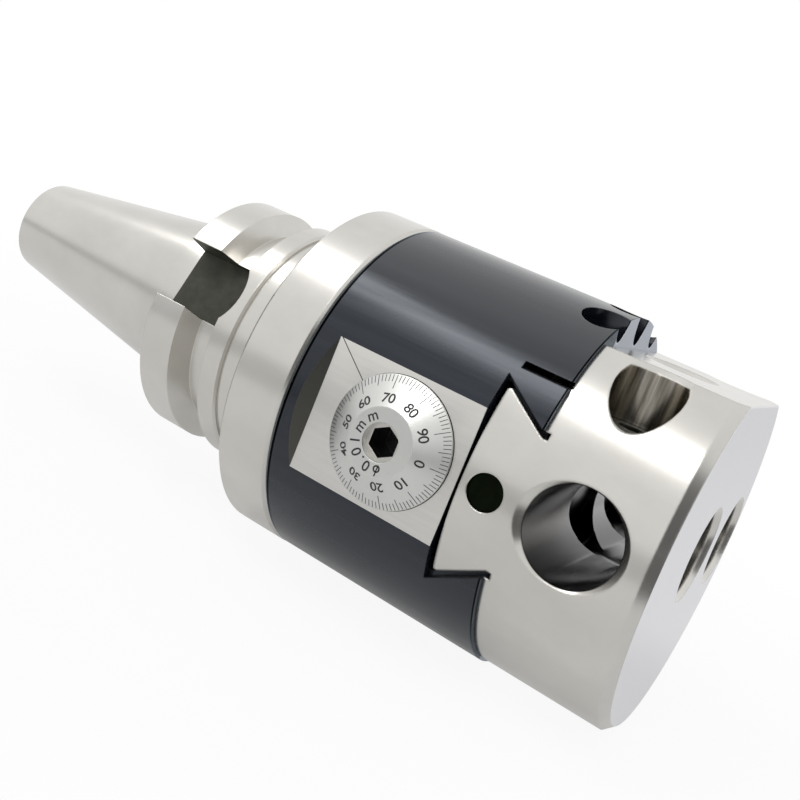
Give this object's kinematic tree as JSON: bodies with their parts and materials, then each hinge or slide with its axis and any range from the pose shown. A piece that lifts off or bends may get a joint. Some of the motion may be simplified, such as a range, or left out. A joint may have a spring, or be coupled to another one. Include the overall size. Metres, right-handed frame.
{
  "type": "boring head",
  "caption": "Boring head on a 40-taper shank: a dial drives the dovetail slide sideways to set the bore size.",
  "frame": {"origin": "centre of the gauge plane of the 7:24 taper, on the spindle axis", "axes": "+X along the tool axis from the taper to the nose, -Y towards the graduated dial, +Z towards the clamp screws"},
  "size_m": [0.2009, 0.0854, 0.084],
  "materials": {
    "ground_steel": "satin, fine ground",
    "dial_steel": "bright satin",
    "black_oxide": "satin black oxide",
    "dark_screw": "satin black",
    "bush_bronze": "satin"
  },
  "bodies": {
    "shank_body": {"taper_shank": "ground_steel", "head_body": "black_oxide", "body_screws": "dark_screw", "body_dowels": "ground_steel", "front_bush": "bush_bronze", "thrust_washer": "bush_bronze", "rear_bush": "bush_bronze", "disc_springs": "dark_screw", "rear_cap": "dark_screw", "stop_pin": "ground_steel"},
    "dial_body": {"dial": "dial_steel", "lead_screw": "ground_steel", "dial_friction_ring": "dark_screw", "lock_nut": "dark_screw"},
    "slide_body": {"slide": "ground_steel", "drive_nut": "bush_bronze", "nut_plug": "dark_screw"},
    "lock_screw_front_body": {"lock_screw_front": "dark_screw"},
    "lock_screw_middle_body": {"lock_screw_middle": "dark_screw"},
    "lock_screw_rear_body": {"lock_screw_rear": "dark_screw"},
    "clamp_screw_cross_body": {"clamp_screw_cross": "dark_screw"},
    "clamp_screw_centre_body": {"clamp_screw_centre": "dark_screw"},
    "clamp_screw_outer_body": {"clamp_screw_outer": "dark_screw"}
  },
  "joints": [
    {"name": "dial_turn", "type": "hinge", "parent": "shank_body", "child": "dial_body", "pos_m": [0.0772, 0, 0], "axis": [0, -1, 0], "range_deg": [-4032, 1728]},
    {"name": "slide_travel", "type": "slide", "parent": "shank_body", "child": "slide_body", "axis": [0, 1, 0], "range_m": [-0.0056, 0.0024]},
    {"name": "lock_screw_front_move", "type": "slide", "parent": "shank_body", "child": "lock_screw_front_body", "axis": [0.342, 0, 0.9397], "range_m": [0, 0.001]},
    {"name": "lock_screw_middle_move", "type": "slide", "parent": "shank_body", "child": "lock_screw_middle_body", "axis": [0.342, 0, 0.9397], "range_m": [0, 0.001]},
    {"name": "lock_screw_rear_move", "type": "slide", "parent": "shank_body", "child": "lock_screw_rear_body", "axis": [0.342, 0, 0.9397], "range_m": [0, 0.001]},
    {"name": "clamp_screw_cross_move", "type": "slide", "parent": "slide_body", "child": "clamp_screw_cross_body", "axis": [0, 0, -1], "range_m": [-0.004, 0.0006]},
    {"name": "clamp_screw_centre_move", "type": "slide", "parent": "slide_body", "child": "clamp_screw_centre_body", "axis": [0, 0, -1], "range_m": [-0.004, 0.0006]},
    {"name": "clamp_screw_outer_move", "type": "slide", "parent": "slide_body", "child": "clamp_screw_outer_body", "axis": [0, 0, -1], "range_m": [-0.004, 0.0006]}
  ],
  "couplings": [
    {"joint": "dial_turn", "follows": "slide_travel", "rad_per_m": 12566}
  ]
}
